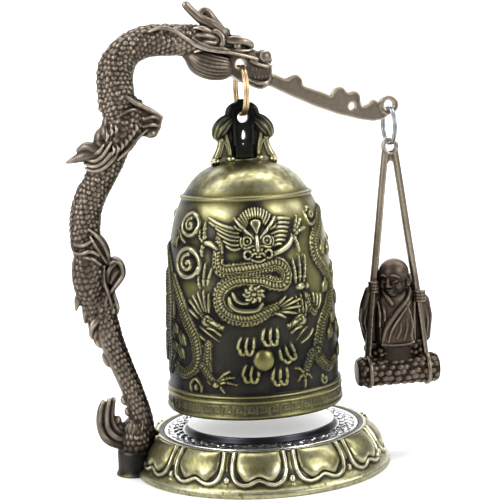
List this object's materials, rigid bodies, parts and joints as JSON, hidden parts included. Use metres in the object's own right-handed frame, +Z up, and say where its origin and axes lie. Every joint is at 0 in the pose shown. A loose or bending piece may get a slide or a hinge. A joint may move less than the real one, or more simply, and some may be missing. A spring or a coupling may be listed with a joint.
{
  "type": "tabletop temple bell",
  "caption": "Tabletop temple bell on a lotus base: a dragon post holds the bell on a ring, and a monk on a log swings from a beam to strike it.",
  "frame": {"origin": "centre of the lotus base on the surface that it stands on", "axes": "+Z up; +X from the dragon post towards the striker; the post, the bell's axis and the striker lie in the plane y = 0; +Y away from the viewer"},
  "size_m": [0.1139, 0.08, 0.1439],
  "materials": {
    "antique_brass": "antiqued, olive gold with black in the hollows",
    "mirror_plate": "polished",
    "dark_bronze": "dark brown bronze, worn on the ridges",
    "beam_bronze": "dark bronze, smoother",
    "black_patina": "blackened, worn on the ridges",
    "gold_wire": "bright gold plate",
    "steel_wire": "nickel plate",
    "fastener_steel": "zinc plate",
    "monk_bronze": "dark brown bronze"
  },
  "bodies": {
    "post": {"lotus_base": "antique_brass", "top_plate": "mirror_plate", "dragon_body": "dark_bronze", "dragon_head": "dark_bronze", "beam": "beam_bronze", "socket_screw": "fastener_steel", "socket_washer": "fastener_steel"},
    "upper_ring": {"bell_ring": "gold_wire"},
    "bell": {"bell_shell": "antique_brass", "bell_crown": "black_patina", "crown_screw": "fastener_steel", "crown_washer": "fastener_steel"},
    "beam_ring": {"striker_ring": "steel_wire"},
    "striker": {"striker_frame": "dark_bronze", "monk": "monk_bronze", "log_seat": "monk_bronze", "log_straps": "dark_bronze"}
  },
  "joints": [
    {"name": "ring_sway", "type": "hinge", "parent": "post", "child": "upper_ring", "pos_m": [-0.0014, 0, 0.1246], "axis": [0, 1, 0], "range_deg": [0, 2.2]},
    {"name": "bell_swing", "type": "hinge", "parent": "upper_ring", "child": "bell", "pos_m": [-0.0014, 0, 0.11649], "axis": [1, 0, 0], "range_deg": [-30, 30]},
    {"name": "striker_sway", "type": "hinge", "parent": "post", "child": "beam_ring", "pos_m": [0.0444, 0, 0.1099], "axis": [0, 1, 0], "range_deg": [-60, 3]},
    {"name": "striker_swing", "type": "hinge", "parent": "beam_ring", "child": "striker", "pos_m": [0.0444, 0, 0.10345], "axis": [1, 0, 0], "range_deg": [-25, 25]}
  ]
}
